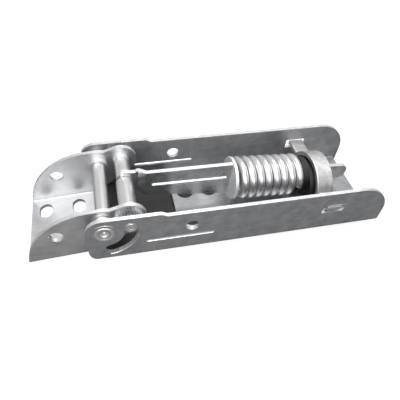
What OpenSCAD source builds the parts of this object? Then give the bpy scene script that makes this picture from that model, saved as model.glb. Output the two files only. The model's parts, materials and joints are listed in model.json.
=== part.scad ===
// Over-centre spring hinge for a chest freezer lid, shown with the lid leaf folded down.
// X runs along the cabinet leaf towards the spring end, Y along the pivot axis, Z up.
// The origin is the middle of the pivot axis. The near side is the -Y side.

/* [Cabinet channel] */
// Outer width of the channel
channel_w = 50; // [46:0.5:60]
// Thickness of the pressed sheet
sheet_t = 1.8; // [1.4:0.1:2.2]
// Height of the pivot axis above the underside of the channel
pivot_h = 19; // [18.6:0.1:22]
// Height of the walls above the underside
wall_h = 25.2; // [24:0.2:28]
// Extra height of the walls around the pivot
nose_rise = 1.4; // [0.5:0.1:3]
// How far the raised part of the walls runs past the pivot
nose_run = 24; // [18:0.5:28]
// Distance from the pivot to the left end of the walls
nose_reach = 7.7; // [7:0.1:10]
// Distance from the pivot to the spring end of the walls
tail_reach = 135; // [128:1:160]
// Corner radius at the spring end of the walls
tail_r = 16.5; // [8:0.5:20]
// Corner radius at the pivot end of the walls
nose_r = 7.2; // [4:0.1:7.6]
// Distance from the pivot to the start of the base plate
base_start = 34.7; // [30:0.5:38]
// How far the base plate stops short of the walls at the spring end
base_short = 1.8; // [0:0.2:5]
// Radius of the fold between base and walls, inside
fold_r = 1; // [0.5:0.1:2]
// Diameter of the hole in each wall
wall_hole_d = 6; // [4:0.1:7]
// Distance from the pivot to the hole in each wall
wall_hole_x = 37.6; // [34:0.2:44]
// How far the hole in each wall lies below the pivot axis
wall_hole_drop = 2.1; // [0:0.1:5]
// Length of the stiffening bead in each wall
bead_len = 29; // [16:1:40]
// Distance from the pivot to the start of the bead
bead_x = 18; // [16:0.5:22]
// How far the bead lies below the pivot axis
bead_drop = 8.4; // [7:0.1:12]
// Radius of the bead
bead_r = 1.1; // [0.8:0.1:1.3]
// Diameter of the fixing holes in the base plate
fix_hole_d = 8.6; // [5:0.1:9]
// Spacing of the fixing holes along the base plate
fix_space_x = 12.5; // [11:0.5:30]
// Spacing of the fixing holes across the base plate
fix_space_y = 18; // [14:0.5:28]
// Distance from the pivot to the first fixing holes
fix_x = 41.5; // [40:0.5:50]

/* [Lid bracket] */
// Outer width of the lid bracket
lid_w = 38.6; // [34:0.2:39]
// How far the lid bracket droops from level
lid_droop = 4.1; // [2:0.1:5]
// Distance from the pivot to the free end of the lid bracket
lid_reach = 35.6; // [30:0.2:50]
// How far the underside of the lid bracket lies below the pivot axis
lid_drop = 19.6; // [18:0.1:22]
// Radius of the arched top edge of the wings
wing_r = 31; // [28:0.5:34]
// Distance from the pivot to the top of the arch
arch_back = 5; // [3:0.1:7]
// Height of the wings above the pivot axis
wing_rise = 7.5; // [7:0.1:9]
// Distance from the pivot to the cut edge of the lid bracket's plate
lid_plate_gap = 5.5; // [4:0.1:9]
// Radius of the wing around the crank pin
lobe_r = 7.4; // [6:0.1:8]
// Slope of the wing's lower edge towards the crank pin
wing_slope = 35; // [30:1:40]
// Diameter of the cross-bolt holes in the wings
bolt_hole_d = 6.1; // [4:0.1:8]
// Distance from the pivot to the cross-bolt holes
bolt_x = 20.3; // [18:0.1:26]
// How far the cross-bolt holes lie below the pivot axis
bolt_drop = 3.8; // [0:0.1:6]
// Width of the oval holes in the lid bracket's plate, along X
lid_hole_w = 6.2; // [4:0.1:8]
// Length of the oval holes in the lid bracket's plate, along Y
lid_hole_l = 8.5; // [6.4:0.1:10]
// Spacing of the oval holes along X
lid_space_x = 15.8; // [12:0.1:18]
// Spacing of the oval holes across the plate
lid_space_y = 19.3; // [14:0.1:22]
// Distance from the free end to the first oval holes
lid_hole_in = 6.7; // [5:0.1:9]
// Height of the drawn collars on the wings
collar_h = 2.4; // [1.5:0.1:3]
// Wall of the drawn collars
collar_wall = 1.5; // [1:0.1:1.8]

/* [Pivot] */
// Diameter of the pivot rivet's shank
pivot_d = 4; // [3:0.1:4.5]
// Diameter of the pivot rivet's heads
head_d = 8.4; // [7:0.1:10]
// Thickness of the pivot rivet's heads
head_t = 1.3; // [0.8:0.1:2]
// Outer diameter of the tube between the walls
tube_d = 5.6; // [5.2:0.1:6]
// Outer diameter of the washers beside the wings
washer_d = 9.4; // [8:0.1:11]

/* [Crank] */
// Distance from the pivot to the crank pin
crank_r = 11.2; // [10.5:0.05:11.6]
// Angle of the crank pin above level, seen from the near side
crank_angle = 9.8; // [6:0.1:12]
// Diameter of the crank pin
crank_d = 4.4; // [3.6:0.1:4.6]
// Outer diameter of the bushes that run in the slots
bush_d = 5.7; // [5.2:0.1:6]
// Outer diameter of the far sleeve
far_sleeve_d = 6.9; // [6:0.1:7.4]
// Outer diameter of the near sleeve
near_sleeve_d = 7.8; // [7:0.1:8.4]
// Outer diameter of the ribbed spacers
spacer_d = 13; // [10:0.1:13.4]
// Number of ribs around each spacer
spacer_ribs = 36; // [24:2:48]
// Depth of the ribs
rib_depth = 0.5; // [0.3:0.1:0.8]
// Angle that the slots run below the crank pin
slot_sweep = 88; // [80:1:90]

/* [Push strap] */
// Thickness of the strap
strap_t = 2; // [1.6:0.1:2.4]
// Radius of the strap's eye
eye_r = 6.3; // [5:0.1:6.6]
// Offset of the eye towards the far wall
joggle = 2.6; // [2:0.1:3]
// Length of the strap from the crank pin to the spring washer
strap_len = 50; // [48:0.5:54]
// Height of the strap's edge above its axis at the washer
strap_top = 9.4; // [8:0.1:9.6]
// Depth of the strap's edge below its axis at the washer
strap_bottom = 8.8; // [7:0.1:9]
// Length of the tongue from the crank pin to its tip
tongue_end = 114; // [110:0.5:120]
// Height of the tongue
tongue_h = 8.4; // [7:0.1:8.8]

/* [Spring] */
// Outer diameter of the spring washer
ring_d = 20.6; // [19:0.1:20.8]
// Thickness of the spring washer
ring_t = 1.6; // [1.2:0.1:2]
// Outer diameter of the spring
spring_d = 20.2; // [18:0.1:20.4]
// Diameter of the spring wire
wire_d = 3.4; // [3:0.1:3.6]
// Number of turns of the spring, with its closed ends
turns = 8.5; // [7:0.5:9]
// Gap between the seat and the carrier in the position shown
seat_gap = 2; // [1.9:0.1:3]
// Thickness of the seat's shoulder
shoulder_t = 3.5; // [3:0.1:4]
// Diameter of the seat's shoulder
shoulder_d = 18; // [17:0.1:19]

/* [Spring carrier] */
// Distance from the pivot to the ears of the carrier
ear_x = 107; // [105:0.5:112]
// How far the ears lie below the pivot axis
ear_drop = 4; // [3:0.1:5]
// Width of the ears
ear_w = 8.8; // [7:0.1:9]
// Thickness of the carrier
carrier_t = 2.4; // [2:0.1:2.6]
// Width of the carrier's arch
arch_w = 9.5; // [8:0.1:10]
// Outer radius of the carrier's arch
arch_r = 13.3; // [12.5:0.1:13.6]
// Length of the windows in the walls
window_l = 11.5; // [10.5:0.1:14]
// Height of the windows in the walls
window_h = 5.2; // [4.6:0.1:6]

/* [Fits] */
// Radial clearance of running fits
run_clear = 0.05; // [0.02:0.01:0.1]
// Radial clearance of the bushes in the slots
slot_clear = 0.1; // [0.05:0.01:0.3]
// Side clearance between parts that turn beside each other
side_clear = 0.1; // [0.05:0.01:0.3]
// Clearance of the tongue in the seat and in the carrier
tongue_clear = 0.3; // [0.2:0.05:0.5]

/* [Hidden] */
$fn = 64;

eps = 0.01;
past = 1;
zinc = [0.72, 0.73, 0.74];
bright = [0.86, 0.86, 0.87];
dark_zinc = [0.5, 0.5, 0.51];
nylon = [0.07, 0.07, 0.08];

// Heights, measured from the pivot axis
base_z = -pivot_h;
base_top = base_z + sheet_t;
wall_top = base_z + wall_h;
nose_top = wall_top + nose_rise;
wall_in = channel_w / 2 - sheet_t;
lid_in = lid_w / 2 - sheet_t;
side_gap = wall_in - lid_w / 2;
base_end = tail_reach - base_short;

// Crank pin, in the row's frame and in the lid bracket's own frame
crank_x = crank_r * cos(crank_angle);
crank_z = crank_r * sin(crank_angle);
lid_angle = crank_angle - lid_droop;
lobe_x = crank_r * cos(lid_angle);
lobe_z = crank_r * sin(lid_angle);
slot_hw = bush_d / 2 + slot_clear;

// The strap points from the crank pin to the middle of the carrier's ears
strap_tilt = atan((crank_z + ear_drop) / (ear_x - crank_x));
pin_to_ear = norm([ear_x - crank_x, crank_z + ear_drop]);
eye_y = joggle - strap_t / 2;
sleeve_clear = side_clear;
joggle_start = 6.2;
joggle_end = 9.4;

// Places along the strap, from the crank pin
spring_start = strap_len + ring_t;
arch_end = pin_to_ear + 2.5;
arch_start = arch_end - arch_w;
// The spring fills what is left between washer and seat, to a tenth of a millimetre
spring_len = round(10 * (arch_start - seat_gap - shoulder_t - spring_start)) / 10;
spring_end = spring_start + spring_len;
seat_end = spring_end + shoulder_t;
hub_len = arch_start + carrier_t + 1 - seat_end;
hub_h = tongue_h + 1.2;
hub_w = strap_t + 3;
rock_clear = 0.8;

// Small fixed forms
jog_len = 2.6;
dish_d = 5.2;
dish_depth = 0.6;
boss_d = 10.4;
boss_h = 0.35;
tongue_r = 3.4;
pin_proud = 0.5;
dimple_d = 2.2;
arch_x = -arch_back;
arch_drop = 5.9;
arch_foot = 3.2;

module rounded_corner_cut(r) {
    difference() {
        translate([-past, -past]) square(r + past);
        translate([r, r]) circle(r);
    }
}

// A plate standing along X, drawn in X and Z, from y0 to y1
module side_plate(y0, y1) {
    translate([0, y1, 0]) rotate([90, 0, 0]) linear_extrude(y1 - y0) children();
}

// A round bar along Y
module y_bar(d, y0, y1) {
    translate([0, y0, 0]) rotate([-90, 0, 0]) cylinder(d = d, h = y1 - y0);
}

module wall_outline() {
    difference() {
        polygon([
            [-nose_reach, base_z],
            [tail_reach, base_z],
            [tail_reach, wall_top],
            [nose_run + jog_len, wall_top],
            [nose_run, nose_top],
            [-nose_reach, nose_top]
        ]);
        translate([-nose_reach, base_z]) rounded_corner_cut(nose_r);
        translate([-nose_reach, nose_top]) mirror([0, 1]) rounded_corner_cut(nose_r);
        translate([tail_reach, wall_top]) rotate(180) rounded_corner_cut(tail_r);
    }
}

module arc_slot() {
    start = crank_angle;
    stop = crank_angle - slot_sweep;
    far = 2 * (crank_r + slot_hw);
    intersection() {
        difference() {
            circle(crank_r + slot_hw);
            circle(crank_r - slot_hw);
        }
        polygon([
            [0, 0],
            far * [cos(start), sin(start)],
            far * [cos(start - slot_sweep / 2), sin(start - slot_sweep / 2)],
            far * [cos(stop), sin(stop)]
        ]);
    }
    for (a = [start, stop]) translate(crank_r * [cos(a), sin(a)]) circle(slot_hw);
}

// The folded section of the channel, drawn in Y and Z
module channel_section() {
    outer_r = fold_r + sheet_t;
    difference() {
        translate([-channel_w / 2, base_z]) square([channel_w, wall_h + nose_rise]);
        translate([-wall_in + fold_r, base_top]) square([2 * (wall_in - fold_r), wall_h + nose_rise]);
        translate([-wall_in, base_top + fold_r]) square([2 * wall_in, wall_h + nose_rise]);
        for (s = [-1, 1]) translate([s * (wall_in - fold_r), base_top + fold_r]) circle(fold_r);
        for (s = [0, 1]) mirror([s, 0])
            translate([-channel_w / 2, base_z]) rounded_corner_cut(outer_r);
    }
}

module bead(depth_y, r) {
    translate([bead_x, depth_y, -bead_drop]) {
        rotate([0, 90, 0]) cylinder(r = r, h = bead_len);
        sphere(r);
        translate([bead_len, 0, 0]) sphere(r);
    }
}

module base_channel() {
    color(zinc) difference() {
        union() {
            intersection() {
                translate([-2 * nose_reach, 0, 0]) rotate([90, 0, 90])
                    linear_extrude(2 * tail_reach) channel_section();
                side_plate(-channel_w, channel_w) wall_outline();
            }
            for (s = [-1, 1]) {
                bead(s * (wall_in + 0.3), bead_r + 0.2);
                translate([0, s * (channel_w / 2 + boss_h / 2), 0]) rotate([90, 0, 0])
                    cylinder(d = boss_d, h = boss_h, center = true);
            }
        }
        for (s = [-1, 1]) bead(s * (channel_w / 2 + 0.3), bead_r);
        for (x = [-tail_reach + base_start, base_end]) translate([x, -wall_in, base_z - past])
            cube([tail_reach, 2 * wall_in, sheet_t + fold_r + past]);
        side_plate(-channel_w, channel_w) arc_slot();
        translate([wall_hole_x, 0, -wall_hole_drop]) y_bar(wall_hole_d, -channel_w, channel_w);
        y_bar(pivot_d + 2 * run_clear, -channel_w, channel_w);
        translate([ear_x + ear_w / 2 + 0.3 - window_l, -channel_w, -ear_drop + 0.3 - window_h / 2])
            cube([window_l, 2 * channel_w, window_h]);
        for (i = [0, 1]) for (s = [-1, 1])
            translate([fix_x + i * fix_space_x, s * fix_space_y / 2, base_z - past])
                cylinder(d = fix_hole_d, h = sheet_t + 2 * past);
    }
}

// One wing of the lid bracket, drawn in the bracket's own frame
module wing_outline() {
    tan_x = lobe_x + lobe_r * sin(wing_slope);
    tan_z = lobe_z - lobe_r * cos(wing_slope);
    foot_x = tan_x - (tan_z + lid_drop) / tan(wing_slope);
    difference() {
        union() {
            polygon([
                [arch_x - wing_r, -lid_drop],
                [foot_x, -lid_drop],
                [tan_x, tan_z],
                [lobe_x, lobe_z],
                [lobe_x - lobe_r * sin(20), lobe_z + lobe_r * cos(20)],
                [lobe_x - lobe_r, wing_rise - 0.7],
                [1, wing_rise],
                [arch_x - wing_r, wing_rise]
            ]);
            translate([lobe_x, lobe_z]) circle(lobe_r);
        }
        translate([arch_x, wing_rise - wing_r]) difference() {
            translate([-2 * wing_r, -past]) square([2 * wing_r, wing_r + 2 * past]);
            circle(wing_r, $fn = 160);
        }
    }
}

module lid_section() {
    outer_r = fold_r + sheet_t;
    difference() {
        translate([-lid_w / 2, -lid_drop]) square([lid_w, lid_drop + 2 * wing_rise]);
        translate([-lid_in + fold_r, sheet_t - lid_drop]) square([2 * (lid_in - fold_r), lid_drop + 2 * wing_rise]);
        translate([-lid_in, sheet_t + fold_r - lid_drop]) square([2 * lid_in, lid_drop + 2 * wing_rise]);
        for (s = [-1, 1]) translate([s * (lid_in - fold_r), sheet_t + fold_r - lid_drop]) circle(fold_r);
        for (s = [0, 1]) mirror([s, 0])
            translate([-lid_w / 2, -lid_drop]) rounded_corner_cut(outer_r);
    }
}

// An oval hole through the lid bracket's plate, longer along Y
module oval_hole() {
    half = (lid_hole_l - lid_hole_w) / 2;
    translate([0, 0, -lid_drop - past]) {
        for (s = [-1, 1]) translate([0, s * half, 0]) cylinder(d = lid_hole_w, h = sheet_t + 2 * past);
        translate([-lid_hole_w / 2, -half, 0]) cube([lid_hole_w, 2 * half, sheet_t + 2 * past]);
    }
}

module lid_bracket() {
    color(zinc) rotate([0, -lid_droop, 0]) difference() {
        union() {
            intersection() {
                translate([-lid_reach, 0, 0]) rotate([90, 0, 90])
                    linear_extrude(2 * lid_reach) lid_section();
                side_plate(-lid_w, lid_w) wing_outline();
            }
            for (s = [-1, 1]) {
                lid_collar(s, tube_d);
                translate([lobe_x, 0, lobe_z]) lid_collar(s, crank_d);
            }
        }
        translate([-lid_plate_gap, -lid_in, -lid_drop - past])
            cube([lid_reach, 2 * lid_in, sheet_t + fold_r + past]);
        y_bar(tube_d + 2 * run_clear, -lid_w, lid_w);
        translate([lobe_x, 0, lobe_z]) y_bar(crank_d + 2 * run_clear, -lid_w, lid_w);
        translate([-bolt_x, 0, -bolt_drop]) y_bar(bolt_hole_d, -lid_w, lid_w);
        for (i = [0, 1]) for (s = [-1, 1])
            translate([lid_hole_in - lid_reach + i * lid_space_x, s * lid_space_y / 2, 0]) oval_hole();
    }
}

// A collar drawn inwards around a hole in a wing
module lid_collar(side, hole_d) {
    y0 = side > 0 ? lid_in - collar_h : -lid_in - sheet_t / 2;
    y_bar(hole_d + 2 * collar_wall, y0, y0 + collar_h + sheet_t / 2);
}

module pivot_pin() {
    face_y = channel_w / 2 + boss_h;
    color(bright) difference() {
        union() {
            y_bar(pivot_d, -face_y, face_y);
            y_bar(head_d, face_y, face_y + head_t);
            y_bar(head_d, -face_y - head_t, -face_y);
        }
        for (s = [-1, 1]) translate([0, s * (face_y + head_t - dish_depth), 0]) rotate([s * -90, 0, 0])
            cylinder(d1 = dish_d - dish_depth, d2 = dish_d + dish_depth, h = dish_depth + eps);
    }
}

module pivot_tube() {
    half = wall_in - side_clear / 2;
    color(bright) difference() {
        y_bar(tube_d, -half, half);
        y_bar(pivot_d + 2 * run_clear, -channel_w, channel_w);
    }
}

module pivot_washer() {
    color(zinc) difference() {
        y_bar(washer_d, lid_w / 2 + side_clear, wall_in - side_clear);
        y_bar(tube_d + 2 * run_clear, 0, channel_w);
    }
}

module pivot_washer_near() {
    mirror([0, 1, 0]) pivot_washer();
}

module pivot_washer_far() {
    pivot_washer();
}

module at_crank() {
    translate([crank_x, 0, crank_z]) children();
}

module crank_pin() {
    end_y = channel_w / 2 + pin_proud;
    color(bright) at_crank() difference() {
        y_bar(crank_d, -end_y, end_y);
        for (s = [-1, 1]) translate([0, s * (end_y - pin_proud), 0]) rotate([s * -90, 0, 0])
            cylinder(d1 = dimple_d / 2, d2 = dimple_d, h = pin_proud + eps);
    }
}

module crank_sleeve(d, y0, y1) {
    at_crank() difference() {
        y_bar(d, y0, y1);
        y_bar(crank_d + 2 * run_clear, -channel_w, channel_w);
    }
}

module crank_sleeve_near() {
    color(bright) crank_sleeve(near_sleeve_d, collar_h - lid_in, eye_y - sleeve_clear);
}

module crank_sleeve_far() {
    color(bright) crank_sleeve(far_sleeve_d, eye_y + strap_t + sleeve_clear, lid_in - collar_h);
}

module ribbed_disc() {
    circle_pts = [for (i = [0 : 2 * spacer_ribs - 1])
        let (r = spacer_d / 2 - (i % 2) * rib_depth, a = i * 180 / spacer_ribs) r * [cos(a), sin(a)]];
    polygon(circle_pts);
}

module crank_spacer() {
    color(dark_zinc) at_crank() difference() {
        side_plate(lid_w / 2, wall_in - side_clear) ribbed_disc();
        y_bar(crank_d + 2 * run_clear, 0, channel_w);
    }
}

module crank_spacer_near() {
    mirror([0, 1, 0]) crank_spacer();
}

module crank_spacer_far() {
    crank_spacer();
}

module slot_bush() {
    color(bright) at_crank() difference() {
        y_bar(bush_d, wall_in, channel_w / 2);
        y_bar(crank_d + 2 * run_clear, 0, channel_w);
    }
}

module slot_bush_near() {
    mirror([0, 1, 0]) slot_bush();
}

module slot_bush_far() {
    slot_bush();
}

// Everything on the strap is drawn along its own axis, from the crank pin
module along_strap() {
    at_crank() rotate([0, strap_tilt, 0]) children();
}

module strap_outline() {
    polygon([
        [joggle_start - past, eye_r],
        [joggle_end, eye_r + 0.9],
        [strap_len, strap_top],
        [strap_len, -strap_bottom],
        [strap_len - 10, -strap_bottom],
        [strap_len / 2, 1.2 - strap_bottom],
        [joggle_end, -eye_r],
        [joggle_start - past, -eye_r + 1.2]
    ]);
}

module tongue_outline() {
    half = tongue_h / 2;
    difference() {
        translate([strap_len - past, -half]) square([tongue_end - strap_len + past, tongue_h]);
        translate([tongue_end, half]) rotate(180) rounded_corner_cut(tongue_r);
        translate([tongue_end, -half]) rotate(90) rounded_corner_cut(tongue_r);
    }
}

// The joggled section of the strap seen from above: eye plane, slope and main plane
module strap_plan() {
    near = -strap_t / 2;
    polygon([
        [-2 * eye_r, eye_y],
        [joggle_start, eye_y],
        [joggle_end, near],
        [tongue_end + past, near],
        [tongue_end + past, near + strap_t],
        [joggle_end + 0.4, near + strap_t],
        [joggle_start + 0.4, eye_y + strap_t],
        [-2 * eye_r, eye_y + strap_t]
    ]);
}

module push_strap() {
    rib_s = 13;
    rib_end = strap_len - 2;
    rib_n = -0.4;
    rib_rise = 1.6;
    color(dark_zinc) along_strap() difference() {
        union() {
            intersection() {
                side_plate(-channel_w, channel_w) union() {
                    circle(eye_r);
                    translate([0, -eye_r + 1]) square([joggle_start + past, 2 * eye_r - 1.6]);
                    strap_outline();
                    tongue_outline();
                }
                linear_extrude(2 * channel_w, center = true) strap_plan();
            }
            translate([rib_s, -strap_t / 2 + 0.1, rib_n]) rotate([0, 90 - atan(rib_rise / (rib_end - rib_s)), 0])
                cylinder(r = 1, h = rib_end - rib_s);
            translate([rib_s, -strap_t / 2 + 0.1, rib_n]) sphere(1);
        }
        y_bar(crank_d + 2 * run_clear, -channel_w, channel_w);
    }
}

module spring_washer() {
    color(bright) along_strap() difference() {
        translate([strap_len, 0, 0]) rotate([0, 90, 0]) cylinder(d = ring_d, h = ring_t);
        translate([strap_len - past, -strap_t / 2 - run_clear, -tongue_h / 2 - run_clear])
            cube([ring_t + 2 * past, strap_t + 2 * run_clear, tongue_h + 2 * run_clear]);
    }
}

// The spring is swept along its helix as one closed mesh
module coil_spring() {
    sides = 10;
    steps = 20;
    mean_r = (spring_d - wire_d) / 2;
    rings = ceil(turns * steps);
    // the end turns lie closed, the others share what is left of the length
    travel = spring_len - wire_d - 2 * side_clear;
    closed = 0.9 * wire_d;
    pitch = (travel - 2 * closed) / (turns - 2);
    rise = [for (i = [0 : rings]) let (t = i * turns / rings)
        t < 1 ? closed * t : t > turns - 1 ? travel - closed * (turns - t) : closed + pitch * (t - 1)];
    points = [for (i = [0 : rings]) for (j = [0 : sides - 1])
        let (a = i * 360 * turns / rings, b = j * 360 / sides, r = mean_r + wire_d / 2 * cos(b))
        [r * cos(a), r * sin(a), rise[i] + wire_d / 2 * sin(b)]];
    skin = [for (i = [0 : rings - 1]) for (j = [0 : sides - 1])
        let (k = (j + 1) % sides) [i * sides + j, (i + 1) * sides + j, (i + 1) * sides + k, i * sides + k]];
    first = [for (j = [0 : sides - 1]) j];
    last = [for (j = [sides - 1 : -1 : 0]) rings * sides + j];
    color(bright) along_strap()
        translate([spring_start + side_clear + wire_d / 2, 0, 0]) rotate([0, 90, 0])
            polyhedron(points, concat(skin, [first, last]), convexity = 10);
}

module spring_seat() {
    color(nylon) along_strap() difference() {
        union() {
            translate([spring_end, 0, 0]) rotate([0, 90, 0]) cylinder(d = shoulder_d, h = shoulder_t);
            translate([spring_end - wire_d, 0, 0]) rotate([0, 90, 0])
                cylinder(d = spring_d - 2 * wire_d - 0.8, h = wire_d + eps);
            translate([seat_end - eps, -hub_w / 2, -hub_h / 2]) cube([hub_len, hub_w, hub_h]);
        }
        translate([spring_start, -strap_t / 2 - tongue_clear / 2, -tongue_h / 2 - tongue_clear / 2])
            cube([tongue_end, strap_t + tongue_clear, tongue_h + tongue_clear]);
    }
}

// The arch of the carrier, drawn about the arch's own centre
module arch_shape(r) {
    difference() {
        union() {
            circle(r);
            translate([-r, -arch_foot]) square([2 * r, arch_foot]);
        }
        translate([-2 * r, -2 * r - arch_foot]) square([4 * r, 2 * r]);
    }
}

module along_x(s0, s1) {
    translate([s0, 0, 0]) rotate([90, 0, 90]) linear_extrude(s1 - s0) children();
}

// The carrier is drawn square to the strap, with its ears in the channel's windows
module spring_carrier() {
    inner_r = arch_r - carrier_t;
    slot_h = hub_h + 2 * rock_clear;
    slot_w = hub_w + 2 * rock_clear;
    color(bright) along_strap() difference() {
        union() {
            translate([0, 0, -arch_drop]) {
                along_x(arch_start, arch_end) difference() {
                    arch_shape(arch_r);
                    circle(inner_r);
                    translate([-inner_r, -arch_foot - past]) square([2 * inner_r, arch_foot + past]);
                }
                along_x(arch_start, arch_start + carrier_t) arch_shape(arch_r);
            }
            for (s = [0, 1]) mirror([0, s, 0]) translate([pin_to_ear - ear_w / 2, inner_r, -carrier_t / 2])
                cube([ear_w, channel_w / 2 - inner_r, carrier_t]);
        }
        translate([0, -slot_w / 2, -slot_h / 2]) cube([2 * pin_to_ear, slot_w, slot_h]);
    }
}

base_channel();
lid_bracket();
pivot_pin();
pivot_tube();
pivot_washer_near();
pivot_washer_far();
crank_pin();
crank_sleeve_near();
crank_sleeve_far();
crank_spacer_near();
crank_spacer_far();
slot_bush_near();
slot_bush_far();
push_strap();
spring_washer();
coil_spring();
spring_seat();
spring_carrier();
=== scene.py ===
import json
from math import atan2, cos, hypot, pi, radians, sin

import bmesh
import bpy
from mathutils import Matrix, Vector


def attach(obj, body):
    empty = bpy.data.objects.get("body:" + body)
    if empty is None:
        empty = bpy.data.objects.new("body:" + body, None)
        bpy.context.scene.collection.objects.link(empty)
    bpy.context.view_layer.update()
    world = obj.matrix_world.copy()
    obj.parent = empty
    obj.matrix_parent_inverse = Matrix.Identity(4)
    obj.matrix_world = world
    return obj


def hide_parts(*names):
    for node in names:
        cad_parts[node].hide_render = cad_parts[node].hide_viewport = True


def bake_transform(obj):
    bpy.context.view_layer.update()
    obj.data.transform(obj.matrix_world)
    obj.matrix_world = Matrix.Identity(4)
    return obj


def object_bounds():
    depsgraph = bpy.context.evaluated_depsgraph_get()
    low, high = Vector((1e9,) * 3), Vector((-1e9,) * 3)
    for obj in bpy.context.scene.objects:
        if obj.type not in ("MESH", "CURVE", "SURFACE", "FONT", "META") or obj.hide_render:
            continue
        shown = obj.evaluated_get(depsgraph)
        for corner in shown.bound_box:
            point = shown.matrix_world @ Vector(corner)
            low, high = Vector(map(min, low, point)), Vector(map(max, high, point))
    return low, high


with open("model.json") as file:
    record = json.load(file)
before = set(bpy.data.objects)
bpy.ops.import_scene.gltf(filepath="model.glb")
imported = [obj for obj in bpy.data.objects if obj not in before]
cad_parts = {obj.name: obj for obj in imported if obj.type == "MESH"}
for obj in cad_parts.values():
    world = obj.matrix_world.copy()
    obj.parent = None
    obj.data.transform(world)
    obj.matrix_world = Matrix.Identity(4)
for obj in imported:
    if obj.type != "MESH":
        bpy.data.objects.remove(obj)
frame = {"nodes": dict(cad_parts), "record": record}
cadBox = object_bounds()
mm = 0.001
scene = bpy.context.scene
print("frame loaded")


# camera, at the place found from the walls' edges, holes and windows in the photograph
cameraSetup = {
    "place": (6.6, -129.6, 134.2),  # mm from the middle of the pivot pin
    "turn": 17.51,  # degrees to the right of straight across the hinge
    "down": 47.63,
    "roll": 6.11,
    "lens": 36.0,  # mm, as are the sensor's width and the distance below which nothing is drawn
    "sensor": 36.0,
    "near": 10.0,
}


def addCamera(setup):
    turn, down, roll = (radians(setup[k]) for k in ("turn", "down", "roll"))
    ahead = Vector((sin(turn) * cos(down), cos(turn) * cos(down), -sin(down)))
    right = ahead.cross(Vector((0, 0, 1))).normalized()
    up = right.cross(ahead)
    imageX = cos(roll) * right + sin(roll) * up
    imageY = cos(roll) * up - sin(roll) * right
    data = bpy.data.cameras.new("photoCamera")
    data.lens = setup["lens"]
    data.sensor_width = setup["sensor"]
    data.clip_start = setup["near"] * mm
    camera = bpy.data.objects.new("photoCamera", data)
    axes = Matrix((imageX, imageY, -ahead)).transposed().to_4x4()
    camera.matrix_world = Matrix.Translation(Vector(setup["place"]) * mm) @ axes
    scene.collection.objects.link(camera)
    scene.camera = camera


addCamera(cameraSetup)


# nodes and colours

def linear(hexColour):
    channels = [int(hexColour[i:i + 2], 16) / 255 for i in (1, 3, 5)]
    return [c / 12.92 if c <= 0.04045 else ((c + 0.055) / 1.055) ** 2.4 for c in channels] + [1.0]


def addNode(tree, kind, settings=None, links=None):
    node = tree.nodes.new(kind)
    for name, value in (settings or {}).items():
        if name == "stops":  # a ramp's two ends, each a place and a colour
            for stop, (place, colour) in zip(node.color_ramp.elements, value):
                stop.position, stop.color = place, colour
        elif isinstance(name, int) or name in node.inputs:
            node.inputs[name].default_value = value
        else:
            setattr(node, name, value)
    for name, source in (links or {}).items():
        tree.links.new(source, node.inputs[name])
    return node


def newMaterial(name):
    material = bpy.data.materials.new(name)
    material.use_nodes = True
    material.node_tree.nodes.clear()
    return material, material.node_tree


# zinc-plated steel in its several finishes: a soft, slightly cloudy grey metal
# cloud is the size of the plating's clouds, grain the length of the working marks along x, y and z,
# fine the size of the smallest specks, drawn coarser than they are so that they show, all in mm
metalFinishes = {
    # rolled sheet, dull and evenly grey, with faint marks along its length
    "galvanisedSheet": {"dark": "#98999b", "light": "#bcbdbf", "rough": (0.38, 0.5), "cloud": 5.0,
                        "grain": (9.0, 0.35, 0.35), "bump": 0.07, "fine": 0.35, "metallic": 0.82},
    # the same sheet with a fresher, paler plating
    "bracketZinc": {"dark": "#c9cacc", "light": "#dededf", "rough": (0.38, 0.5), "cloud": 6.0,
                    "grain": (7.0, 0.5, 0.5), "bump": 0.04, "fine": 0.35},
    # cut edges, marked across by the shear and drawn brighter than the faces: partly bare sheared steel,
    # partly a painted highlight where the edges catch the light
    "shearedEdgeHighlight": {"dark": "#d4d5d6", "light": "#f0f0f0", "rough": (0.42, 0.56), "cloud": 3.0,
                    "grain": (0.3, 1.8, 0.3), "bump": 0.08, "fine": 0.25},
    # smooth strip, shinier, drawn lengthwise
    "stripSteel": {"dark": "#bcbdbf", "light": "#dcddde", "rough": (0.24, 0.36), "cloud": 4.0,
                   "grain": (12.0, 0.4, 0.4), "bump": 0.05, "fine": 0.3},
    # turned and plated, nearly white, with long soft highlights
    "platedPins": {"dark": "#e0e0e1", "light": "#efefef", "rough": (0.28, 0.34), "cloud": 6.0,
                   "grain": (0.8, 12.0, 0.8), "bump": 0.008, "fine": 0.6},
    # rolled ribs, darker and sharply shiny
    "ribbedZinc": {"dark": "#88898b", "light": "#b6b7b9", "rough": (0.16, 0.24), "cloud": 2.0,
                   "grain": (0.4, 0.4, 0.4), "bump": 0.1, "fine": 0.3},
    # bright drawn wire
    "springWire": {"dark": "#dadadb", "light": "#f0f0f0", "rough": (0.28, 0.36), "cloud": 5.0,
                   "grain": (0.8, 4.0, 4.0), "bump": 0.015, "fine": 0.5},
    # pressed washer with a chalky plating that mirrors little
    "washerZinc": {"dark": "#d2d2d3", "light": "#ececec", "rough": (0.4, 0.5), "cloud": 3.0,
                   "grain": (1.0, 1.0, 1.0), "bump": 0.03, "fine": 0.4, "metallic": 0.4},
    # folded saddle, matt and slightly rough
    "saddleZinc": {"dark": "#bebebe", "light": "#dadada", "rough": (0.42, 0.55), "cloud": 4.0,
                   "grain": (2.0, 0.6, 0.6), "bump": 0.08, "fine": 0.4},
}
# how clouds, grain and specks are mixed, and where on that mix the two greys and the two roughnesses stand
metalPattern = {"cloudDetail": 4.0, "cloudRoughness": 0.6, "grainDetail": 3.0, "fineDetail": 2.0,
                "grainShare": 0.4, "fineShare": 0.5, "darkAt": 0.34, "lightAt": 0.66, "smoothAt": 0.3,
                "dullAt": 0.7}
bumpDepth = 0.1  # mm at a strength of 1


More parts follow.
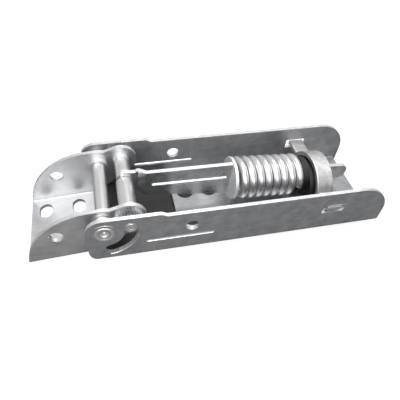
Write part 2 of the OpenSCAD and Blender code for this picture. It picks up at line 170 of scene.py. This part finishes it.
def makeMetal(name, finish, pattern):
    material, tree = newMaterial(name)
    place = addNode(tree, "ShaderNodeTexCoord").outputs["Object"]
    cloudScale, fineScale = (1 / (finish[size] * mm) for size in ("cloud", "fine"))
    cloud = addNode(tree, "ShaderNodeTexNoise",
                    {"Scale": cloudScale, "Detail": pattern["cloudDetail"],
                     "Roughness": pattern["cloudRoughness"]}, {"Vector": place}).outputs["Fac"]
    grainScale = [1 / (length * mm) for length in finish["grain"]]
    stretched = addNode(tree, "ShaderNodeMapping", {"Scale": grainScale}, {"Vector": place}).outputs["Vector"]
    grain = addNode(tree, "ShaderNodeTexNoise", {"Scale": 1.0, "Detail": pattern["grainDetail"]},
                    {"Vector": stretched}).outputs["Fac"]
    fine = addNode(tree, "ShaderNodeTexNoise", {"Scale": fineScale, "Detail": pattern["fineDetail"]},
                   {"Vector": place}).outputs["Fac"]
    blend = addNode(tree, "ShaderNodeMix", {"Factor": pattern["grainShare"]},
                    {"A": cloud, "B": grain}).outputs["Result"]
    stops = [(pattern["darkAt"], linear(finish["dark"])), (pattern["lightAt"], linear(finish["light"]))]
    colour = addNode(tree, "ShaderNodeValToRGB", {"stops": stops}, {"Fac": blend}).outputs["Color"]
    lowRough, highRough = finish["rough"]
    rough = addNode(tree, "ShaderNodeMapRange",
                    {"From Min": pattern["smoothAt"], "From Max": pattern["dullAt"], "To Min": lowRough,
                     "To Max": highRough}, {"Value": blend}).outputs["Result"]
    height = addNode(tree, "ShaderNodeMix", {"Factor": pattern["fineShare"]},
                     {"A": grain, "B": fine}).outputs["Result"]
    bump = addNode(tree, "ShaderNodeBump", {"Strength": finish["bump"], "Distance": bumpDepth * mm},
                   {"Height": height}).outputs["Normal"]
    shader = addNode(tree, "ShaderNodeBsdfPrincipled", {"Metallic": finish.get("metallic", 1.0)},
                     {"Base Color": colour, "Roughness": rough, "Normal": bump})
    addNode(tree, "ShaderNodeOutputMaterial", links={"Surface": shader.outputs["BSDF"]})
    return material


# moulded black nylon: a dull, faintly grained plastic, its grain in mm
nylonLook = {"dark": "#0b0b0c", "light": "#1c1c1e", "rough": (0.38, 0.55), "grain": 0.5, "detail": 3.0,
             "darkAt": 0.35, "lightAt": 0.65, "bump": 0.15, "ior": 1.53}


def makeNylon(name, look):
    material, tree = newMaterial(name)
    place = addNode(tree, "ShaderNodeTexCoord").outputs["Object"]
    grain = addNode(tree, "ShaderNodeTexNoise", {"Scale": 1 / (look["grain"] * mm), "Detail": look["detail"]},
                    {"Vector": place}).outputs["Fac"]
    stops = [(look["darkAt"], linear(look["dark"])), (look["lightAt"], linear(look["light"]))]
    colour = addNode(tree, "ShaderNodeValToRGB", {"stops": stops}, {"Fac": grain}).outputs["Color"]
    lowRough, highRough = look["rough"]
    rough = addNode(tree, "ShaderNodeMapRange", {"To Min": lowRough, "To Max": highRough},
                    {"Value": grain}).outputs["Result"]
    bump = addNode(tree, "ShaderNodeBump", {"Strength": look["bump"], "Distance": bumpDepth * mm},
                   {"Height": grain}).outputs["Normal"]
    shader = addNode(tree, "ShaderNodeBsdfPrincipled", {"IOR": look["ior"]},
                     {"Base Color": colour, "Roughness": rough, "Normal": bump})
    addNode(tree, "ShaderNodeOutputMaterial", links={"Surface": shader.outputs["BSDF"]})
    return material


materials = {name: makeMetal(name, finish, metalPattern) for name, finish in metalFinishes.items()}
materials["blackNylon"] = makeNylon("blackNylon", nylonLook)
print("materials made")


# what the record says of bodies and joints
behaviour = frame["record"]["behaviour"]
bodyOfNode = {node: body for body, nodes in behaviour["bodies"].items() for node in nodes}
joints = {joint["name"]: joint for joint in behaviour["joints"]}

# the crank pin's axis, the strap's line from it and the carrier's ears, as the joints have them
crankPin = Vector(joints["strap_tilt"]["pos_m"])
strapLine = Vector(joints["seat_slide"]["axis"]).normalized()
earAxis = Vector(joints["carrier_rock"]["pos_m"])
strapTilt = atan2(-strapLine.z, strapLine.x)
pinToEar = (earAxis - crankPin).length / mm
across, upwards = Vector((0, 1, 0)), Vector((0, 0, 1))


def nodeSpan(node, direction, start=Vector()):
    # where a solid starts and ends, in mm along a direction
    places = [(v.co - start).dot(direction) / mm for v in frame["nodes"][node].data.vertices]
    return min(places), max(places)


# places in mm, taken from the solids
wallFace = nodeSpan("slot_bush_far", across)[1]  # the bushes end level with the walls' outer faces
collarFace = nodeSpan("crank_sleeve_far", across)[1]  # the sleeves end at the wings' collars
tubeEnd = nodeSpan("pivot_tube", across)[1]
springStart = nodeSpan("spring_washer", strapLine, crankPin)[1]
baseHeight = nodeSpan("base_channel", upwards)[0]


# tools for the pieces
sharpAngle = radians(32)  # a sharper edge than this is shaded as an edge and bevelled
flatAngle = radians(0.5)  # triangles that bend less than this are joined to one flat face
nodeWeld = 0.002 * mm  # points of a solid's copy that are closer than this are merged
ownWeld = 0.001 * mm  # and points of a new piece that are closer than this
roundSteps = 64  # sides of what is turned


def everything(bm):
    return bm.verts[:] + bm.edges[:] + bm.faces[:]


def drawFaces(bm, faces, way):
    # flat faces drawn out to a closed shape
    drawn = bmesh.ops.extrude_face_region(bm, geom=faces, use_keep_orig=True)
    moved = [g for g in drawn["geom"] if isinstance(g, bmesh.types.BMVert)]
    bmesh.ops.translate(bm, verts=moved, vec=way)


def finishMesh(bm, name, materialName):
    for face in bm.faces:
        face.smooth = True
    for edge in bm.edges:
        edge.smooth = edge.is_manifold and edge.calc_face_angle(0) < sharpAngle
    mesh = bpy.data.meshes.new(name)
    bm.to_mesh(mesh)
    bm.free()
    mesh.materials.append(materials[materialName])
    piece = bpy.data.objects.new(name, mesh)
    scene.collection.objects.link(piece)
    return piece


def addBevel(piece, width, segments=2):
    bevel = piece.modifiers.new("easedEdges", "BEVEL")
    bevel.width = width * mm
    bevel.segments = segments
    bevel.limit_method = "ANGLE"
    bevel.angle_limit = sharpAngle
    bevel.harden_normals = True
    bevel.use_clamp_overlap = True


def standFor(piece, node):
    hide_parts(node)
    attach(piece, bodyOfNode[node])


# pieces cut, folded and turned from metal: the frame's own shapes with their edges eased
# each gives the material, the record's slot and the radius left on its edges in mm
easedNodes = {
    "base_channel": ("galvanisedSheet", "galvanised_sheet", 0.45),
    "lid_bracket": ("bracketZinc", "galvanised_sheet", 0.4),
    "pivot_washer_near": ("platedPins", "plated_pins", 0.15),
    "pivot_washer_far": ("platedPins", "plated_pins", 0.15),
    "crank_sleeve_near": ("platedPins", "plated_pins", 0.2),
    "crank_sleeve_far": ("platedPins", "plated_pins", 0.2),
    "slot_bush_near": ("platedPins", "plated_pins", 0.15),
    "slot_bush_far": ("platedPins", "plated_pins", 0.15),
    "push_strap": ("stripSteel", "strap_steel", 0.25),
    "spring_washer": ("washerZinc", "plated_pins", 0.3),
}
# the strap's end is a fork, open past the crank pin from this place along the strap in mm
forkCuts = {"push_strap": -1.6}
# the cut edges of the sheet are drawn brighter than its faces, partly as a painted highlight, above this
# height in mm; all of the strap's are
highlightedCutEdges = {"base_channel": -13.0, "lid_bracket": -13.0, "push_strap": -30.0}


def easeNode(node, materialName, width):
    bm = bmesh.new()
    bm.from_mesh(frame["nodes"][node].data)
    bmesh.ops.remove_doubles(bm, verts=bm.verts, dist=nodeWeld)
    bmesh.ops.dissolve_limit(bm, angle_limit=flatAngle, verts=bm.verts, edges=bm.edges)
    if node in forkCuts:
        cutPlace = crankPin + forkCuts[node] * mm * strapLine
        cut = bmesh.ops.bisect_plane(bm, geom=everything(bm), plane_co=cutPlace, plane_no=-strapLine,
                                     clear_outer=True)
        bmesh.ops.holes_fill(bm, edges=[e for e in cut["geom_cut"] if isinstance(e, bmesh.types.BMEdge)])
    piece = finishMesh(bm, node + "_eased", materialName)
    if node in highlightedCutEdges:
        # the paler edge material is partly a painted highlight on the cut edges
        piece.data.materials.append(materials["shearedEdgeHighlight"])
        for face in piece.data.polygons:
            sideways = abs(face.normal.y) > 0.5
            face.material_index = int(not sideways and face.center.z > highlightedCutEdges[node] * mm)
    addBevel(piece, width)
    standFor(piece, node)


for node, (materialName, slot, width) in easedNodes.items():
    easeNode(node, materialName, width)
print("sheet and turned pieces eased")


# turned pins and tube: half of each section, from the middle of the end to the side
# each point is a radius in mm and the mm that it stands out from the place named as face
turnedPins = {
    # rivet, its heads dished with a small raised dot in the middle
    "pivot_pin": {"x": 0, "z": 0, "face": wallFace,
                  "end": [(0, 0.15), (0.5, 0.1), (0.8, -0.15), (1.1, -0.3), (1.5, -0.25), (1.8, 0),
                          (2.1, 0.24), (2.5, 0.3), (2.9, 0.5), (3.3, 0.75), (3.65, 0.8), (4.0, 0.65),
                          (4.2, 0.4), (4.2, 0.2), (2.0, 0.2)]},
    # wider between the wings' collars than in them, with a bore from end to end
    "pivot_tube": {"x": 0, "z": 0, "face": collarFace,
                   "end": [(2.1, tubeEnd - collarFace), (2.8, tubeEnd - collarFace), (2.8, -0.05),
                           (3.0, -0.1), (3.2, -0.3)]},
    # plain pin, its ends dished in the same way
    "crank_pin": {"x": crankPin.x / mm, "z": crankPin.z / mm, "face": wallFace,
                  "end": [(0, 0.12), (0.4, 0.08), (0.75, -0.1), (1.1, -0.12), (1.45, 0.1), (1.8, 0.2),
                          (2.1, 0.1), (2.2, -0.15)]},
}


def turnPin(node, pin):
    end = [(radius, pin["face"] + height) for radius, height in pin["end"]]
    halfSection = end + [(radius, -place) for radius, place in reversed(end)]
    bm = bmesh.new()
    verts = [bm.verts.new((radius * mm, place * mm, 0)) for radius, place in halfSection]
    pairs = list(zip(verts, verts[1:]))
    if end[0][0] > 0:  # a tube's section closes along its bore
        pairs.append((verts[-1], verts[0]))
    edges = [bm.edges.new(pair) for pair in pairs]
    bmesh.ops.spin(bm, geom=verts + edges, cent=(0, 0, 0), axis=across, angle=2 * pi, steps=roundSteps,
                   use_merge=True, use_duplicate=False)
    bmesh.ops.remove_doubles(bm, verts=bm.verts, dist=ownWeld)
    bmesh.ops.recalc_face_normals(bm, faces=bm.faces)
    bmesh.ops.translate(bm, verts=bm.verts, vec=(pin["x"] * mm, 0, pin["z"] * mm))
    standFor(finishMesh(bm, node + "_turned", "platedPins"), node)


for node, pin in turnedPins.items():
    turnPin(node, pin)
print("pins turned")


# coarse ribs round the two spacers, in mm
spacerSize = {"radius": 6.45, "ribs": 28, "depth": 0.75, "edge": 0.06}


def makeSpacer(node, size):
    start, end = nodeSpan(node, across)
    bore = min(hypot(v.co.x - crankPin.x, v.co.z - crankPin.z) for v in frame["nodes"][node].data.vertices)
    shrink = 1 - size["depth"] / size["radius"]
    sides = 2 * size["ribs"]
    bm = bmesh.new()
    rim = bmesh.ops.create_circle(bm, segments=sides, radius=size["radius"] * mm)["verts"]
    bmesh.ops.scale(bm, verts=rim[::2], vec=(shrink, shrink, 1))
    bmesh.ops.create_circle(bm, segments=sides, radius=bore)
    bmesh.ops.bridge_loops(bm, edges=bm.edges[:])
    bmesh.ops.rotate(bm, verts=bm.verts, cent=(0, 0, 0), matrix=Matrix.Rotation(pi / 2, 3, "X"))
    drawFaces(bm, bm.faces[:], (0, (end - start) * mm, 0))
    bmesh.ops.recalc_face_normals(bm, faces=bm.faces)
    bmesh.ops.translate(bm, verts=bm.verts, vec=(crankPin.x, start * mm, crankPin.z))
    piece = finishMesh(bm, node + "_ribbed", "ribbedZinc")
    addBevel(piece, size["edge"], 1)
    standFor(piece, node)


makeSpacer("crank_spacer_near", spacerSize)
makeSpacer("crank_spacer_far", spacerSize)
print("ribs rolled")


# raised rims on the walls' outer faces, round the rivet and below the arc slot, in mm and degrees; the slot's
# rim is a raised lip drawn in the pale pin metal as a painted highlight
wallRims = {
    "rivet_rim": {"radius": 5.2, "wire": 0.24, "from": 0, "to": 360, "metal": "galvanisedSheet"},
    # the slot's rim is drawn near-white as a painted highlight along the lip
    "slot_rim_highlight": {"radius": 14.5, "wire": 0.26, "from": 14, "to": 84, "metal": "platedPins"},
}
rimStretch = 1.4  # a rim stands out this much more than it is wide
rimSides = 12


def makeRim(name, rim, side):
    sweep = rim["to"] - rim["from"]
    whole = sweep == 360
    bm = bmesh.new()
    bmesh.ops.create_circle(bm, cap_ends=not whole, segments=rimSides, radius=rim["wire"] * mm)
    bmesh.ops.translate(bm, verts=bm.verts, vec=(rim["radius"] * mm, 0, 0))
    bmesh.ops.rotate(bm, verts=bm.verts, cent=(0, 0, 0), matrix=Matrix.Rotation(radians(rim["from"]), 3, "Y"))
    bmesh.ops.spin(bm, geom=everything(bm), cent=(0, 0, 0), axis=across, angle=radians(sweep),
                   steps=roundSteps, use_merge=whole, use_duplicate=False)
    bmesh.ops.scale(bm, verts=bm.verts, vec=(1, rimStretch, 1))
    bmesh.ops.translate(bm, verts=bm.verts, vec=(0, side * wallFace * mm, 0))
    bmesh.ops.recalc_face_normals(bm, faces=bm.faces)
    piece = finishMesh(bm, name, rim["metal"])
    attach(piece, "channel")


for name, rim in wallRims.items():
    makeRim(name + "_near", rim, -1)
    makeRim(name + "_far", rim, 1)
print("rims pressed")


# pieces on the strap are made along x from the crank pin, then turned into its line
def alongStrap(bm):
    turn = Matrix.Rotation(strapTilt, 4, "Y")
    bmesh.ops.transform(bm, verts=bm.verts, matrix=Matrix.Translation(crankPin) @ turn)


# compression spring in mm: a wire spun round the strap's tongue, close at both ends
springSize = {"length": 34.0, "outer": 20.8, "wire": 3.7, "turns": 7.5, "stepsPerTurn": 40, "wireSides": 20,
              "closedTurns": 1.0, "closedPitch": 1.1}  # the pitch counts in wires
springEnd = springStart + springSize["length"]


def makeSpring(size):
    wire = size["wire"] * mm
    meanRadius = (size["outer"] * mm - wire) / 2
    closedPitch = size["closedPitch"] * wire
    middleTurns = size["turns"] - 2 * size["closedTurns"]
    middlePitch = (size["length"] * mm - wire - 2 * size["closedTurns"] * closedPitch) / middleTurns
    closed, middle = (size["closedTurns"], closedPitch), (middleTurns, middlePitch)
    bm = bmesh.new()
    bmesh.ops.create_circle(bm, cap_ends=True, segments=size["wireSides"], radius=wire / 2)
    bmesh.ops.translate(bm, verts=bm.verts, vec=(springStart * mm + wire / 2, meanRadius, 0))
    geometry = everything(bm)
    for turns, pitch in (closed, middle, closed):
        steps = round(turns * size["stepsPerTurn"])
        spun = bmesh.ops.spin(bm, geom=geometry, cent=(0, 0, 0), axis=(1, 0, 0), angle=2 * pi * turns,
                              steps=steps, dvec=(pitch * turns / steps, 0, 0), use_duplicate=False)
        geometry = spun["geom_last"]
    bmesh.ops.recalc_face_normals(bm, faces=bm.faces)
    alongStrap(bm)
    piece = finishMesh(bm, "spring_coil", "springWire")
    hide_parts("coil_spring")
    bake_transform(piece)


makeSpring(springSize)
print("spring wound")


# saddle that holds the spring's far end: an open arch, a slotted plate across its back and two ears, in mm
# it ends past the ears' axis, and the arch's centre lies drop below the strap's line
saddleSize = {"radius": 16.3, "drop": 6.8, "foot": 3.2, "sheet": 2.4, "width": 8.7, "past": 3.7,
              "earWide": 8.8, "earTrim": 0.9, "earReach": 24.9, "slot": (3.3, 5.6), "edge": 0.55}
# black seat between spring and saddle: round shoulder, block that fills the arch, hub round the tongue
seatSize = {"shoulder": (8.5, 3.5), "clear": 0.9, "block": 5.0, "hub": (2.5, 4.8), "proud": 1.0, "edge": 0.35}
archSteps = 40
overlap = 0.02  # mm that joined shapes reach into each other
trainBevelSteps = 3
saddleEnd = pinToEar + saddleSize["past"]


def archLine(radius, foot, centre):
    angles = [pi * i / archSteps for i in range(archSteps + 1)]
    line = [(radius * cos(angle), centre + radius * sin(angle)) for angle in angles]
    return [(radius, centre - foot)] + line + [(-radius, centre - foot)]


def drawOut(bm, outline, start, end):
    # an outline across the strap, drawn out along it
    verts = [bm.verts.new((start * mm, y * mm, z * mm)) for y, z in outline]
    drawFaces(bm, [bm.faces.new(verts)], ((end - start) * mm, 0, 0))


def finishTrainPiece(bm, name, node, materialName, edge):
    bmesh.ops.recalc_face_normals(bm, faces=bm.faces)
    alongStrap(bm)
    piece = finishMesh(bm, name, materialName)
    addBevel(piece, edge, trainBevelSteps)
    standFor(piece, node)


def makeSaddle(size):
    outer, middle, inner = (archLine(size["radius"] - size["sheet"] * depth, size["foot"], -size["drop"])
                            for depth in (0, 0.5, 1))
    # half of the back plate round its slot, then mirrored
    half = [p for p in middle if p[0] * mm > -ownWeld]
    slotWide, slotHigh = size["slot"]
    half += [(0, slotHigh), (slotWide, slotHigh), (slotWide, -slotHigh), (0, -slotHigh), (0, half[0][1])]
    bm = bmesh.new()
    drawOut(bm, half, saddleEnd - size["sheet"] + overlap, saddleEnd - overlap)
    cut = [f for f in bm.faces if all(abs(v.co.y) < ownWeld for v in f.verts)]
    bmesh.ops.delete(bm, geom=cut, context="FACES")
    bmesh.ops.mirror(bm, geom=everything(bm), merge_dist=ownWeld, axis="Y")
    drawOut(bm, outer + inner[::-1], saddleEnd - size["width"], saddleEnd)
    root, reach, thick = size["radius"] - size["sheet"] / 2, size["earReach"], size["sheet"] / 2
    for side in (-1, 1):
        ear = [(side * root, -thick), (side * reach, -thick), (side * reach, thick), (side * root, thick)]
        drawOut(bm, ear, pinToEar - size["earWide"] / 2, pinToEar + size["earWide"] / 2 - size["earTrim"])
    finishTrainPiece(bm, "arched_saddle", "spring_carrier", "saddleZinc", size["edge"])


def makeSeat(size, saddle):
    radius, thick = size["shoulder"]
    blockStart = springEnd + thick
    blockEnd = blockStart + size["block"]
    facing = Matrix.Translation((springEnd * mm, 0, 0)) @ Matrix.Rotation(pi / 2, 4, "Y")
    bm = bmesh.new()
    bmesh.ops.create_circle(bm, cap_ends=True, segments=roundSteps, radius=radius * mm, matrix=facing)
    drawFaces(bm, bm.faces[:], (thick * mm, 0, 0))
    fill = archLine(saddle["radius"] - saddle["sheet"] - size["clear"], saddle["foot"], -saddle["drop"])
    drawOut(bm, fill, blockStart - overlap, blockEnd)
    hubWide, hubHigh = size["hub"]
    hub = [(hubWide, -hubHigh), (hubWide, hubHigh), (-hubWide, hubHigh), (-hubWide, -hubHigh)]
    drawOut(bm, hub, blockEnd - overlap, saddleEnd + size["proud"])
    finishTrainPiece(bm, "moulded_seat", "spring_seat", "blackNylon", size["edge"])


makeSaddle(saddleSize)
makeSeat(seatSize, saddleSize)
print("saddle folded, seat moulded")


# stage in mm: a grey card that the camera sees as white, a dark pad below the channel that paints the shade
# under it (painted shade), soft lamps
floorSetup = {"colour": "#7c7c7c", "size": 3000.0, "centre": 50.0, "gap": 0.05, "glow": 0.9}
# dark pad under the channel's open part: painted shade where the floor lies in the hinge's shadow
shadePadSetup = {"colour": "#404041", "from": (-3.0, -21.0), "to": (70.0, 24.5), "below": 0.2, "thick": 0.2}
lamps = {
    "overhead": {"place": (90, -10, 320), "aim": (60, 0, 0), "size": (320, 130), "watts": 1.3},
    "frontGlow": {"place": (-110, -190, 200), "aim": (-25, 10, -10), "size": (180, 180), "watts": 0.38},
    "wallGlow": {"place": (80, -260, 110), "aim": (70, 20, -5), "size": (300, 120), "watts": 0.15},
}
# the world is white to the camera, dim to what it lights and brighter in mirrored light
worldLight = {"lights": 0.3, "mirrored": 0.66, "seen": 1.0}
white = (1, 1, 1, 1)


def addStagePiece(bm, name, material):
    mesh = bpy.data.meshes.new(name)
    bm.to_mesh(mesh)
    bm.free()
    mesh.materials.append(material)
    stagePiece = bpy.data.objects.new(name, mesh)
    scene.collection.objects.link(stagePiece)


def addFloor(setup):
    height = cadBox[0][2] - setup["gap"] * mm
    bm = bmesh.new()
    bmesh.ops.create_grid(bm, x_segments=1, y_segments=1, size=setup["size"] / 2 * mm)
    bmesh.ops.translate(bm, verts=bm.verts, vec=(setup["centre"] * mm, 0, height))
    material, tree = newMaterial("greyCard")
    card = addNode(tree, "ShaderNodeBsdfDiffuse", {"Color": linear(setup["colour"])})
    rays = addNode(tree, "ShaderNodeLightPath")
    glow = addNode(tree, "ShaderNodeMath", {"operation": "MULTIPLY", 1: setup["glow"]},
                   {0: rays.outputs["Is Camera Ray"]})
    glare = addNode(tree, "ShaderNodeEmission", {"Color": white}, {"Strength": glow.outputs["Value"]})
    both = addNode(tree, "ShaderNodeAddShader", links={0: card.outputs["BSDF"], 1: glare.outputs["Emission"]})
    addNode(tree, "ShaderNodeOutputMaterial", links={"Surface": both.outputs["Shader"]})
    addStagePiece(bm, "studioFloor", material)


def addShadePad(setup):
    (x0, y0), (x1, y1) = setup["from"], setup["to"]
    middle = baseHeight - setup["below"] - setup["thick"] / 2
    bm = bmesh.new()
    bmesh.ops.create_cube(bm, size=mm)
    bmesh.ops.scale(bm, verts=bm.verts, vec=(x1 - x0, y1 - y0, setup["thick"]))
    bmesh.ops.translate(bm, verts=bm.verts, vec=Vector(((x0 + x1) / 2, (y0 + y1) / 2, middle)) * mm)
    # the pad's dark grey is painted shade
    material, tree = newMaterial("paintedShadeMat")
    shadeBsdf = addNode(tree, "ShaderNodeBsdfDiffuse", {"Color": linear(setup["colour"])})
    addNode(tree, "ShaderNodeOutputMaterial", links={"Surface": shadeBsdf.outputs["BSDF"]})
    addStagePiece(bm, "paintedShadePad", material)


def addLamp(name, lamp):
    data = bpy.data.lights.new(name, "AREA")
    data.shape = "RECTANGLE"
    data.size, data.size_y = (side * mm for side in lamp["size"])
    data.energy = lamp["watts"]
    place, aim = Vector(lamp["place"]) * mm, Vector(lamp["aim"]) * mm
    lampObject = bpy.data.objects.new(name, data)
    lampObject.location = place
    lampObject.rotation_euler = (aim - place).to_track_quat("-Z", "Y").to_euler()
    scene.collection.objects.link(lampObject)


def addWorld(light):
    world = bpy.data.worlds.new("softStudio")
    scene.world = world
    world.use_nodes = True
    tree = world.node_tree
    tree.nodes.clear()
    rays = addNode(tree, "ShaderNodeLightPath").outputs
    lights, mirrored, seen = (
        addNode(tree, "ShaderNodeBackground", {"Color": white, "Strength": light[use]}).outputs["Background"]
        for use in ("lights", "mirrored", "seen"))
    unseen = addNode(tree, "ShaderNodeMixShader", links={0: rays["Is Glossy Ray"], 1: lights, 2: mirrored})
    direct = addNode(tree, "ShaderNodeMath", {"operation": "MAXIMUM"},
                     {0: rays["Is Camera Ray"], 1: rays["Is Transmission Ray"]})
    mix = addNode(tree, "ShaderNodeMixShader",
                  links={0: direct.outputs["Value"], 1: unseen.outputs["Shader"], 2: seen})
    addNode(tree, "ShaderNodeOutputWorld", links={"Surface": mix.outputs["Shader"]})


addFloor(floorSetup)
addShadePad(shadePadSetup)
for name, lamp in lamps.items():
    addLamp(name, lamp)
addWorld(worldLight)
scene.view_settings.view_transform = "Standard"
print("stage set")
